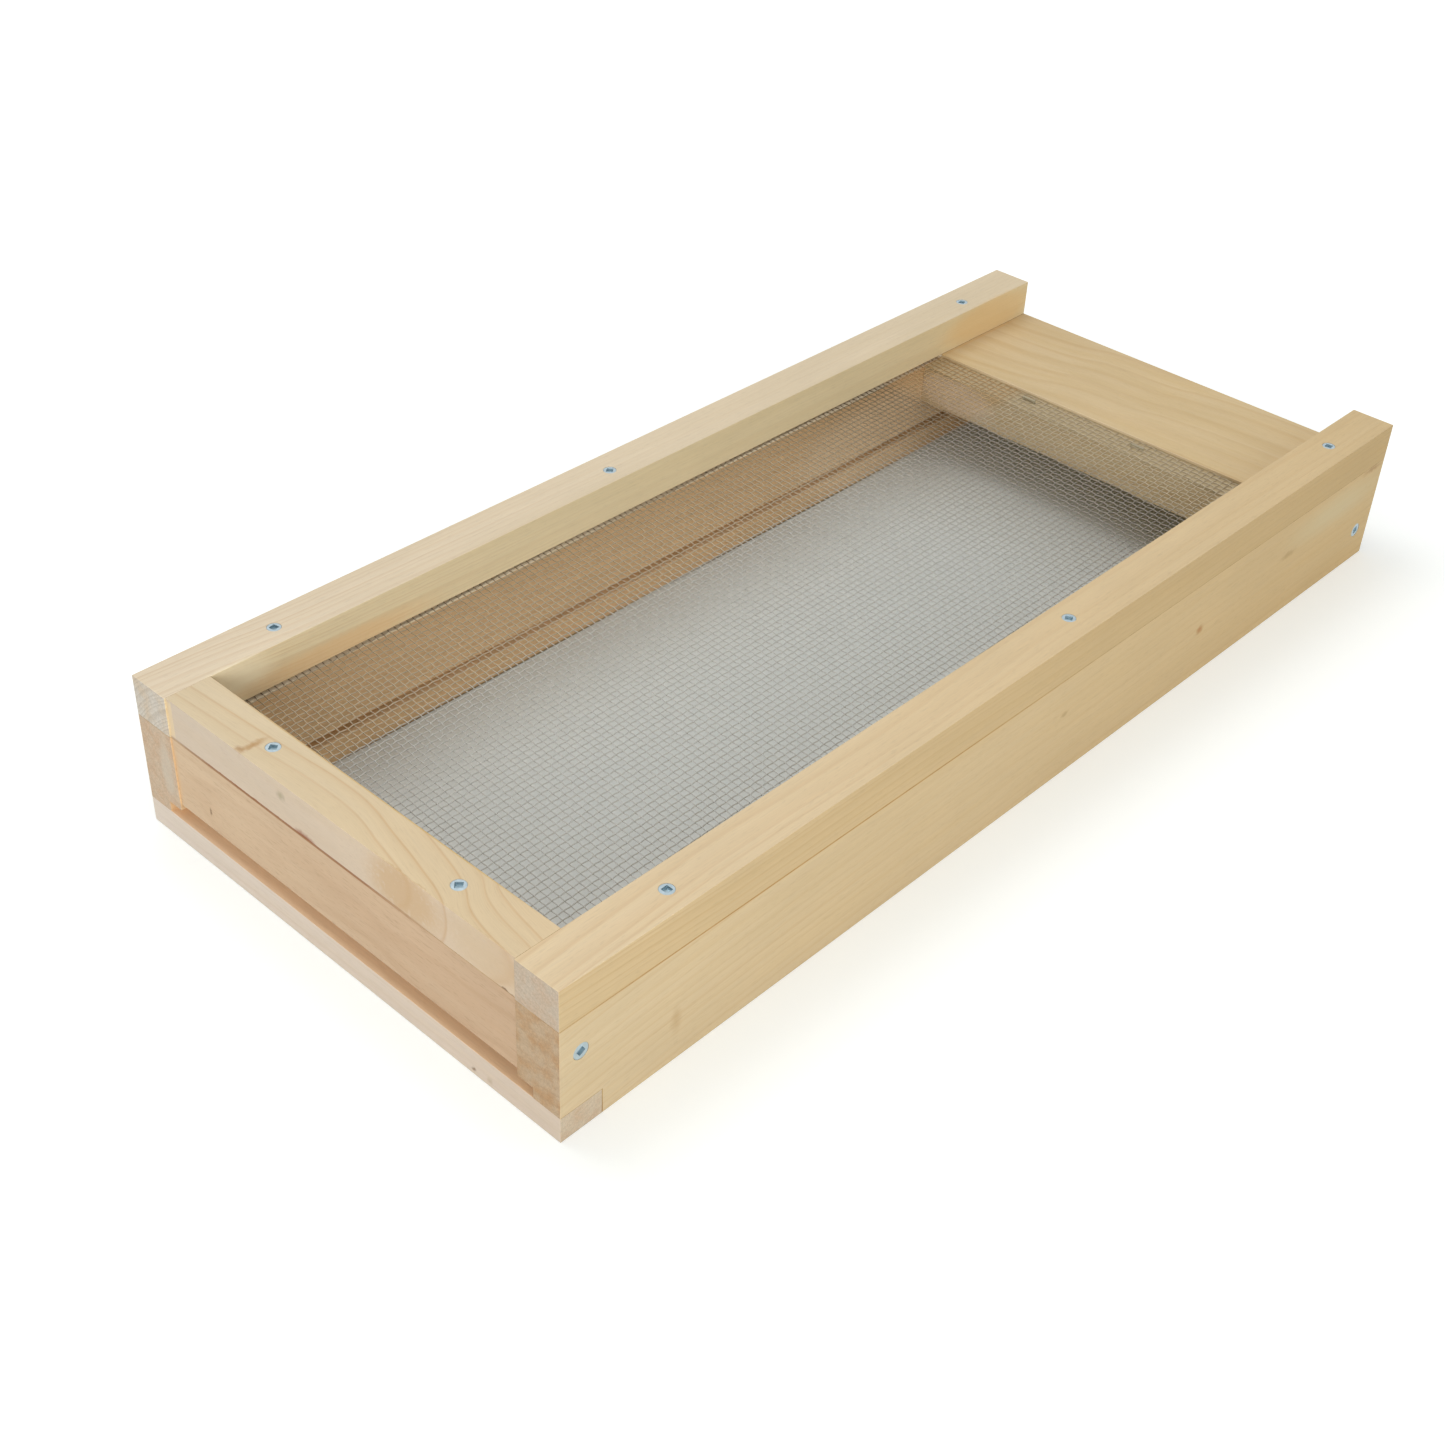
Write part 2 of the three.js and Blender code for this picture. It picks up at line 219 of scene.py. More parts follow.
# Patterns of the wood, in millimetres.
grain = {
    # Length along the board, width across it, detail, roughness, and how the board's seed moves it.
    "fibre": (16, 0.5, 3.0, 0.6, 0),
    "canal": (4.5, 0.5, 1.0, 0.5, 0),  # resin canals: dark dashes, twice as thick as real so they show
    "streak": (110, 5, 2.0, 0.5, 1),
    "cloud": (70, 24, 3.0, 0.5, 3),
    "waveWidth": 30, "torn": 0.8, "blotch": 7, "ragged": 2.4, "relief": 0.1,
    "year": ((0.3, 0.04), (0.62, 0.35), (0.82, 1.0), (0.92, 0.8)),  # share of a year, how dark it is
    "ringEdge": ((2.6, 0.0), (1.0, 0.3), (0.35, 1.0), (-0.3, 0.0)),  # depth inside a ring, how dark
    "ringMargin": 4, "uneven": 1.6, "unevenRun": 0.4,  # how uneven the rings are, and how soon that changes
}


# Pine, planed and left raw: pale early wood, thin orange late wood lines where the saw cut the
# growth rings, fine fibres along the board, and rough grey end grain. Matt, with a faint sheen.
# Rings are tubes round the heart of the tree, which runs along the board.
def pineMaterial(board, box):
    material, tree = newMaterial(board["material"])
    low, high = (Vector(corner) * perMetre for corner in box)
    axis = "xyz".index(board["along"])

    def along(lengthwise, across):
        return tuple(lengthwise if i == axis else across for i in range(3))

    coords = addNode(tree, "ShaderNodeTexCoord")
    inMm = addNode(tree, "ShaderNodeVectorMath", {"operation": "SCALE"},
                   {0: coords.outputs["Object"], "Scale": perMetre})
    fromEnd = addNode(tree, "ShaderNodeVectorMath", {"operation": "DOT_PRODUCT"},
                      {0: inMm.outputs[0], 1: along(1, 0)})
    reach = addNode(tree, "ShaderNodeMath", {"operation": "SUBTRACT"},
                    {0: fromEnd.outputs["Value"], 1: low[axis]})
    share = addNode(tree, "ShaderNodeMath", {"operation": "DIVIDE"},
                    {0: reach.outputs[0], 1: high[axis] - low[axis]})

    # Slow waves bend the rings a little, and they drift across the board on their way along it.
    waveSpace = addNode(tree, "ShaderNodeVectorMath", {"operation": "MULTIPLY_ADD"},
                        {0: inMm.outputs[0], 1: along(1 / board["waveLength"], 1 / grain["waveWidth"]),
                         2: (board["seed"], board["seed"] * 0.37, board["seed"] * 0.71)})
    wave = addNode(tree, "ShaderNodeTexNoise", None,
                   {"Vector": waveSpace.outputs[0], "Scale": 1.0, "Detail": 2.0, "Roughness": 0.5})
    waveCentred = addNode(tree, "ShaderNodeVectorMath", {"operation": "SUBTRACT"},
                          {0: wave.outputs["Color"], 1: (0.5, 0.5, 0.5)})
    waved = addNode(tree, "ShaderNodeVectorMath", {"operation": "MULTIPLY_ADD"},
                    {0: waveCentred.outputs[0], 1: (board["waveHeight"],) * 3, 2: inMm.outputs[0]})
    course = addNode(tree, "ShaderNodeFloatCurve", None, {"Value": share.outputs[0]})
    points = course.mapping.curves[0].points
    points[0].location, points[1].location = board["course"][0], board["course"][-1]
    for place, value in board["course"][1:-1]:
        points.new(place, value)
    course.mapping.update()
    shift = addNode(tree, "ShaderNodeVectorMath", {"operation": "SCALE"},
                    {0: board["drift"], "Scale": course.outputs[0]})
    bent = addNode(tree, "ShaderNodeVectorMath", {"operation": "ADD"},
                   {0: waved.outputs[0], 1: shift.outputs[0]})
    fromHeart = addNode(tree, "ShaderNodeVectorMath", {"operation": "SUBTRACT"},
                        {0: bent.outputs[0], 1: board["heart"]})
    fromAxis = addNode(tree, "ShaderNodeVectorMath", {"operation": "MULTIPLY"},
                       {0: fromHeart.outputs[0], 1: along(0, 1)})
    radius = addNode(tree, "ShaderNodeVectorMath", {"operation": "LENGTH"}, {0: fromAxis.outputs[0]})
    ringCount = addNode(tree, "ShaderNodeMath", {"operation": "DIVIDE"},
                        {0: radius.outputs["Value"], 1: board["ringWidth"]})
    years = addNode(tree, "ShaderNodeTexNoise", {"noise_dimensions": "1D"},
                    {"W": ringCount.outputs[0], "Scale": grain["unevenRun"], "Detail": 1.0})
    ringPlace = addNode(tree, "ShaderNodeMath", {"operation": "MULTIPLY_ADD"},
                        {0: years.outputs[0], 1: grain["uneven"], 2: ringCount.outputs[0]})
    if "rings" in board:
        # Few rings cross this board, so each has its own radius in millimetres and its strength.
        first = board["rings"][0][0] - grain["ringMargin"]
        last = board["rings"][-1][0] + grain["ringMargin"]
        year = addNode(tree, "ShaderNodeMapRange", None,
                       {"Value": radius.outputs["Value"], "From Min": first, "From Max": last})
        profile = [((ring - inside - first) / (last - first), strength * value)
                   for ring, strength in board["rings"]
                   for inside, value in grain["ringEdge"]]
    else:
        year = addNode(tree, "ShaderNodeMath", {"operation": "FRACT"}, {0: ringPlace.outputs[0]})
        profile = grain["year"]
    late = addNode(tree, "ShaderNodeValToRGB", None, {"Fac": year.outputs[0]})
    stops = late.color_ramp.elements
    stops[0].position, stops[0].color = 0.0, (0, 0, 0, 1)
    stops[1].position, stops[1].color = 1.0, (0, 0, 0, 1)
    for place, value in profile:
        stops.new(place).color = (value, value, value, 1)
    whichYear = addNode(tree, "ShaderNodeMath", {"operation": "FLOOR"}, {0: ringPlace.outputs[0]})
    goodYear = addNode(tree, "ShaderNodeTexWhiteNoise", {"noise_dimensions": "1D"},
                       {"W": whichYear.outputs[0]})
    yearStrength = addNode(tree, "ShaderNodeMapRange", None,
                           {"Value": goodYear.outputs["Value"],
                            "To Min": 1.0 if "rings" in board else 0.4})

    # Fine fibres, resin canals, longer streaks a few millimetres wide, and clouds as wide as a hand.
    def pattern(name):
        length, width, detail, roughness, seeds = grain[name]
        space = addNode(tree, "ShaderNodeVectorMath", {"operation": "MULTIPLY_ADD"},
                        {0: bent.outputs[0], 1: along(1 / length, 1 / width),
                         2: (board["seed"] * seeds,) * 3})
        return addNode(tree, "ShaderNodeTexNoise", None,
                       {"Vector": space.outputs[0], "Scale": 1.0, "Detail": detail, "Roughness": roughness})

    fibre, canal, streak, cloud = (pattern(name) for name in ("fibre", "canal", "streak", "cloud"))
    canalDark = addNode(tree, "ShaderNodeMapRange", None,
                        {"Value": canal.outputs[0], "From Min": 0.58, "From Max": 0.72,
                         "To Max": board["canals"]})
    lateShare = addNode(tree, "ShaderNodeMapRange", None,
                        {"Value": cloud.outputs[0], "From Min": 0.3, "From Max": 0.7,
                         "To Min": board["lineStrength"] * 0.6, "To Max": board["lineStrength"]})
    fade = addNode(tree, "ShaderNodeMapRange", {"interpolation_type": "SMOOTHSTEP"},
                   {"Value": share.outputs[0], "From Min": 0.1, "From Max": 0.5,
                    "To Min": 1.0, "To Max": board["farLines"]})
    lateFaded = addNode(tree, "ShaderNodeMath", {"operation": "MULTIPLY"},
                        {0: lateShare.outputs[0], 1: fade.outputs[0]})
    lateYear = addNode(tree, "ShaderNodeMath", {"operation": "MULTIPLY"},
                       {0: lateFaded.outputs[0], 1: yearStrength.outputs[0]})
    lateAmount = addNode(tree, "ShaderNodeMath", {"operation": "MULTIPLY"},
                         {0: late.outputs[0], 1: lateYear.outputs[0]})
    warm = addNode(tree, "ShaderNodeMapRange", None,
                   {"Value": streak.outputs[0], "From Min": 0.35, "From Max": 0.7,
                    "To Max": board["streakStrength"]})
    early = addNode(tree, "ShaderNodeMix", {"data_type": "RGBA"},
                    {0: warm.outputs[0], 6: toLinear(board["early"]), 7: toLinear(board["warm"])})
    ringed = addNode(tree, "ShaderNodeMix", {"data_type": "RGBA"},
                     {0: lateAmount.outputs[0], 6: early.outputs[2], 7: toLinear(board["late"])})
    fibreTone = addNode(tree, "ShaderNodeMapRange", None,
                        {"Value": fibre.outputs[0], "From Min": 0.25, "From Max": 0.75,
                         "To Min": 0.95, "To Max": 1.035})
    cloudTone = addNode(tree, "ShaderNodeMapRange", None,
                        {"Value": cloud.outputs[0], "From Min": 0.3, "From Max": 0.7,
                         "To Min": 0.97, "To Max": 1.03})
    tone = addNode(tree, "ShaderNodeMath", {"operation": "MULTIPLY"},
                   {0: fibreTone.outputs[0], 1: cloudTone.outputs[0]})
    dashed = addNode(tree, "ShaderNodeMix", {"data_type": "RGBA"},
                     {0: canalDark.outputs[0], 6: ringed.outputs[2], 7: toLinear(board["endLate"])})
    toned = addNode(tree, "ShaderNodeVectorMath", {"operation": "SCALE"},
                    {0: dashed.outputs[2], "Scale": tone.outputs[0]})
    # Painted light and shade: the colour grows darker, or lighter, along the board towards its far end.
    farTone = addNode(tree, "ShaderNodeMix", {"data_type": "VECTOR"},
                      {0: share.outputs[0], 4: (1, 1, 1), 5: board["farTone"]})
    colour = addNode(tree, "ShaderNodeVectorMath", {"operation": "MULTIPLY"},
                     {0: toned.outputs[0], 1: farTone.outputs[1]}).outputs[0]
    # Painted light and shade: faces that point a given way get a tone of their own, lighter or darker,
    # warmer or cooler.
    for face in board["faces"]:
        towards = addNode(tree, "ShaderNodeVectorMath", {"operation": "DOT_PRODUCT"},
                          {0: coords.outputs["Normal"], 1: face["normal"]})
        onFace = addNode(tree, "ShaderNodeMapRange", {"interpolation_type": "SMOOTHSTEP"},
                         {"Value": towards.outputs["Value"], "From Min": 0.5, "From Max": 0.9})
        paintedFaceLight = addNode(tree, "ShaderNodeMix", {"data_type": "VECTOR"},
                           {0: onFace.outputs[0], 4: (1, 1, 1), 5: face["tone"]})
        colour = addNode(tree, "ShaderNodeVectorMath", {"operation": "MULTIPLY"},
                         {0: colour, 1: paintedFaceLight.outputs[1]}).outputs[0]

    # Saw-cut end grain: greyer, sandy with torn pale fibres, blotched, and faintly ringed.
    torn = addNode(tree, "ShaderNodeTexNoise", None,
                   {"Vector": inMm.outputs[0], "Scale": 1 / grain["torn"],
                    "Detail": 4.0, "Roughness": 0.75})
    blotch = addNode(tree, "ShaderNodeTexNoise", None,
                     {"Vector": inMm.outputs[0], "Scale": 1 / grain["blotch"],
                      "Detail": 3.0, "Roughness": 0.6})
    blotched = addNode(tree, "ShaderNodeMapRange", None,
                       {"Value": blotch.outputs[0], "From Min": 0.4, "From Max": 0.7})
    endBlotch = addNode(tree, "ShaderNodeMix", {"data_type": "RGBA"},
                        {0: blotched.outputs[0], 6: toLinear(board["end"]), 7: toLinear(board["endWarm"])})
    endRing = addNode(tree, "ShaderNodeMath", {"operation": "MULTIPLY"},
                      {0: late.outputs[0], 1: board["endLines"]})
    endBase = addNode(tree, "ShaderNodeMix", {"data_type": "RGBA"},
                      {0: endRing.outputs[0], 6: endBlotch.outputs[2], 7: toLinear(board["endLate"])})
    endTone = addNode(tree, "ShaderNodeMapRange", None,
                      {"Value": torn.outputs[0], "From Min": 0.3, "From Max": 0.7,
                       "To Min": 0.82, "To Max": 1.16})
    endColour = addNode(tree, "ShaderNodeVectorMath", {"operation": "SCALE"},
                        {0: endBase.outputs[2], "Scale": endTone.outputs[0]})
    facing = addNode(tree, "ShaderNodeVectorMath", {"operation": "DOT_PRODUCT"},
                     {0: coords.outputs["Normal"], 1: along(1, 0)})
    facingSize = addNode(tree, "ShaderNodeMath", {"operation": "ABSOLUTE"}, {0: facing.outputs["Value"]})
    isEnd = addNode(tree, "ShaderNodeMapRange", {"interpolation_type": "SMOOTHSTEP"},
                    {"Value": facingSize.outputs[0], "From Min": 0.6, "From Max": 0.85})
    colour = addNode(tree, "ShaderNodeMix", {"data_type": "RGBA"},
                     {0: isEnd.outputs[0], 6: colour, 7: endColour.outputs[0]}).outputs[2]

    # Knots, resin, paler patches and pools of painted light are soft spots with ragged rims. Bands are
    # strips along routed grooves, joints and edges: joint lines, painted light, painted shade and painted
    # highlights.
    ragged = addNode(tree, "ShaderNodeTexNoise", None,
                     {"Vector": inMm.outputs[0], "Scale": 0.45, "Detail": 2.0})
    raggedPlace = addNode(tree, "ShaderNodeVectorMath", {"operation": "MULTIPLY_ADD"},
                          {0: ragged.outputs["Color"], 1: (grain["ragged"],) * 3, 2: inMm.outputs[0]})
    for mark in board["marks"] + board["bands"]:
        isBand = mark in board["bands"]
        aim = mark["place"] if isBand else [v + grain["ragged"] / 2 for v in mark["place"]]
        offset = addNode(tree, "ShaderNodeVectorMath", {"operation": "SUBTRACT"},
                         {0: (inMm if isBand else raggedPlace).outputs[0], 1: aim})
        scaled = addNode(tree, "ShaderNodeVectorMath", {"operation": "DIVIDE"},
                         {0: offset.outputs[0], 1: mark["reach"]})
        if isBand:
            sizes = addNode(tree, "ShaderNodeVectorMath", {"operation": "ABSOLUTE"},
                            {0: scaled.outputs[0]})
            parts = addNode(tree, "ShaderNodeSeparateXYZ", None, {0: sizes.outputs[0]})
            wider = addNode(tree, "ShaderNodeMath", {"operation": "MAXIMUM"},
                            {0: parts.outputs["X"], 1: parts.outputs["Y"]})
            distance = addNode(tree, "ShaderNodeMath", {"operation": "MAXIMUM"},
                               {0: wider.outputs[0], 1: parts.outputs["Z"]}).outputs[0]
        else:
            distance = addNode(tree, "ShaderNodeVectorMath", {"operation": "LENGTH"},
                               {0: scaled.outputs[0]}).outputs["Value"]
        strength = addNode(tree, "ShaderNodeMapRange", {"interpolation_type": "SMOOTHSTEP"},
                           {"Value": distance, "From Min": 1.0, "From Max": mark.get("core", 0.1),
                            "To Max": mark["strength"]})
        colour = addNode(tree, "ShaderNodeMix", {"data_type": "RGBA"},
                         {0: strength.outputs[0], 6: colour, 7: toLinear(mark["colour"])}).outputs[2]

    relief = addNode(tree, "ShaderNodeMix", {"data_type": "FLOAT"},
                     {0: isEnd.outputs[0], 2: fibre.outputs[0], 3: torn.outputs[0]})
    lineRelief = addNode(tree, "ShaderNodeMath", {"operation": "MULTIPLY_ADD"},
                         {0: lateAmount.outputs[0], 1: 0.5, 2: relief.outputs[0]})
    bump = addNode(tree, "ShaderNodeBump", None,
                   {"Strength": 0.5, "Distance": grain["relief"] * mm, "Height": lineRelief.outputs[0]})
    roughness = addNode(tree, "ShaderNodeMapRange", None,
                        {"Value": fibre.outputs[0], "From Min": 0.2, "From Max": 0.8,
                         "To Min": 0.5, "To Max": 0.68})
    surface = addNode(tree, "ShaderNodeBsdfPrincipled", None,
                      {"Base Color": colour, "Roughness": roughness.outputs[0],
                       "IOR": 1.45, "Specular IOR Level": 0.3, "Normal": bump.outputs[0]})
    addNode(tree, "ShaderNodeOutputMaterial", None, {"Surface": surface.outputs[0]})
    return material


def mottle(tree, size, colours):
    # Soft spots of a size in millimetres: how much of them is at a place, and the colour there.
    coords = addNode(tree, "ShaderNodeTexCoord")
    spots = addNode(tree, "ShaderNodeTexNoise", None,
                    {"Vector": coords.outputs["Object"], "Scale": perMetre / size, "Detail": 2.0})
    colour = addNode(tree, "ShaderNodeMix", {"data_type": "RGBA"},
                     {0: spots.outputs[0], 6: toLinear(colours[0]), 7: toLinear(colours[1])})
    return spots.outputs[0], colour.outputs[2]


# Pine fibres crushed by the saw at a joint: orange brown and rough, darker in places.
crushedPine = {"patch": 6, "colours": ("#BC9C6C", "#9A7442"), "roughness": 0.75, "specular": 0.2}


def jointMaterial(spec):
    material, tree = newMaterial("crushedPineEdge")
    coords = addNode(tree, "ShaderNodeTexCoord")
    patch = addNode(tree, "ShaderNodeTexNoise", None,
                    {"Vector": coords.outputs["Object"], "Scale": perMetre / spec["patch"], "Detail": 3.0})
    amount = addNode(tree, "ShaderNodeMapRange", None,
                     {"Value": patch.outputs[0], "From Min": 0.35, "From Max": 0.65})
    pale, dark = (toLinear(colour) for colour in spec["colours"])
    colour = addNode(tree, "ShaderNodeMix", {"data_type": "RGBA"},
                     {0: amount.outputs[0], 6: pale, 7: dark})
    surface = addNode(tree, "ShaderNodeBsdfPrincipled", None,
                      {"Base Color": colour.outputs[2], "Roughness": spec["roughness"],
                       "Specular IOR Level": spec["specular"]})
    addNode(tree, "ShaderNodeOutputMaterial", None, {"Surface": surface.outputs[0]})
    return material


# Every edge has lost its burr. Where two boards meet, the saw crushed the edges and left them orange.
# A board is a little fuller than its CAD node, except on the outside, so that the joints nearly close.
easing = {"fuller": 0.1 * mm, "width": 0.2 * mm, "segments": 3, "shortest": 4 * mm, "sharp": 40,
          "jointGap": 0.6 * mm, "outlineGap": 0.6 * mm, "merge": 0.001 * mm, "flat": 0.5}


def makeBoard(nodeName, board, joint):
    others = [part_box(name) for name in boards if name != nodeName]
    low, high = (Vector(corner) for corner in cadBox)
    bm = bmesh.new()
    bm.from_mesh(nodes[nodeName].data)
    bmesh.ops.remove_doubles(bm, verts=bm.verts, dist=easing["merge"])
    bmesh.ops.dissolve_limit(bm, angle_limit=math.radians(easing["flat"]), verts=bm.verts, edges=bm.edges)
    bm.normal_update()
    fuller = easing["fuller"]
    pushes = [v.normal * v.calc_shell_factor() * fuller for v in bm.verts]
    for v, push in zip(bm.verts, pushes):
        for i in range(3):
            if low[i] + easing["width"] < v.co[i] < high[i] - easing["width"]:
                v.co[i] += min(max(push[i], -fuller), fuller)
    edges = [e for e in bm.edges if len(e.link_faces) == 2 and e.calc_length() > easing["shortest"]
             and e.calc_face_angle(0) > math.radians(easing["sharp"])]
    made = bmesh.ops.bevel(bm, geom=edges, offset=easing["width"], offset_type="OFFSET", affect="EDGES",
                           segments=easing["segments"], profile=0.5, material=-1, clamp_overlap=False)

    def outlineSides(point):
        return sum(abs(point[i] - corner[i]) < easing["outlineGap"]
                   for corner in (low, high) for i in range(3))

    def inJoint(point):
        gap = easing["jointGap"]
        return any(all(a[i] - gap < point[i] < b[i] + gap for i in range(3)) for a, b in others)

    for face in made["faces"]:
        face.smooth = True
        middle = face.calc_center_median()
        # An edge on two sides of the outline is an outer corner, where no board meets another.
        if outlineSides(middle) < 2 and inJoint(middle):
            face.material_index = 1
    mesh = bpy.data.meshes.new(board["name"])
    bm.to_mesh(mesh)
    bm.free()
    wood = pineMaterial(board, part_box(nodeName))
    finishPiece(mesh, board["name"], [wood, joint], [nodeName])


# What the boards share, unless a board has its own. Places, reaches and widths are in millimetres.
# Drift is how far the rings move across the board along its length, by the shares that its course gives.
# A board's tone towards its far end and the tones of its faces are painted light and shade.
usualBoard = {
    "drift": (0, 0, 0), "course": ((0, 0), (1, 1)), "farLines": 1.0, "endLines": 0.2, "canals": 0.12,
    "farTone": (1, 1, 1), "faces": [], "marks": [], "bands": [],
}
